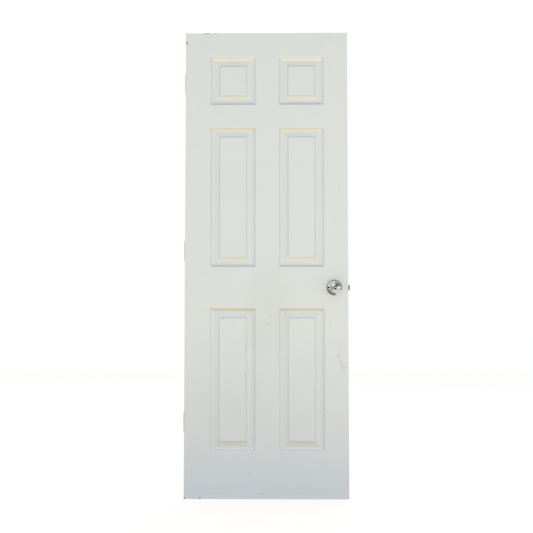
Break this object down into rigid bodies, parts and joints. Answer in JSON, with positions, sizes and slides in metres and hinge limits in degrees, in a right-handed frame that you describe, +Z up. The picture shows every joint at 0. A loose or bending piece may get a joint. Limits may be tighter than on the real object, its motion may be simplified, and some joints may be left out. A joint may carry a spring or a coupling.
{
  "type": "six-panel interior door",
  "caption": "White moulded hollow-core interior door leaf with raised panels, hung on butt hinges, with a polished privacy knob set and a sprung latch.",
  "frame": {"origin": "middle of the bottom edge of the door leaf", "axes": "+X from the hinge edge to the lock edge, +Y from the front face to the back face, +Z up"},
  "size_m": [0.727, 0.1567, 2.032],
  "materials": {
    "paint": "white semi-gloss paint on moulded hardboard",
    "softwood": "planed softwood",
    "card": "plain kraft card",
    "chrome": "polished chrome plate",
    "steel": "plain zinc plated steel"
  },
  "bodies": {
    "frame_leaves": {"bottom_frame_leaf": "steel", "middle_frame_leaf": "steel", "top_frame_leaf": "steel", "hinge_pins": "steel"},
    "door": {"front_skin": "paint", "back_skin": "paint", "hinge_stile": "softwood", "lock_stile": "softwood", "top_rail": "softwood", "bottom_rail": "softwood", "lock_block": "softwood", "card_core": "card", "bottom_door_leaf": "steel", "middle_door_leaf": "steel", "top_door_leaf": "steel", "hinge_screws": "steel", "front_rose": "chrome", "back_rose": "chrome", "rose_posts": "steel", "rose_screws": "chrome", "latch_housing": "steel", "latch_faceplate": "chrome", "latch_screws": "chrome", "latch_spring": "steel"},
    "knobs": {"front_knob": "chrome", "back_knob": "chrome", "spindle": "steel", "latch_hub": "steel"},
    "turn_button": {"turn_button": "chrome", "locking_rod": "steel"},
    "latch": {"latch_bolt": "chrome", "latch_retractor": "steel"}
  },
  "joints": [
    {"name": "door_swing", "type": "hinge", "parent": "frame_leaves", "child": "door", "pos_m": [-0.3564, 0.0334, 0], "axis": [0, 0, 1], "range_deg": [0, 170]},
    {"name": "knob_turn", "type": "hinge", "parent": "door", "child": "knobs", "pos_m": [0.2952, 0, 0.907], "axis": [0, 1, 0], "range_deg": [0, 58.9], "stiffness_Nm_per_rad": 0.4},
    {"name": "latch_slide", "type": "slide", "parent": "door", "child": "latch", "axis": [-1, 0, 0], "range_m": [0, 0.0095], "deforming": ["latch_spring"]},
    {"name": "turn_button_turn", "type": "hinge", "parent": "knobs", "child": "turn_button", "pos_m": [0.2952, 0, 0.907], "axis": [0, 1, 0], "range_deg": [0, 90]}
  ],
  "couplings": [
    {"joint": "latch_slide", "follows": "knob_turn", "m_per_rad": 0.00923}
  ]
}
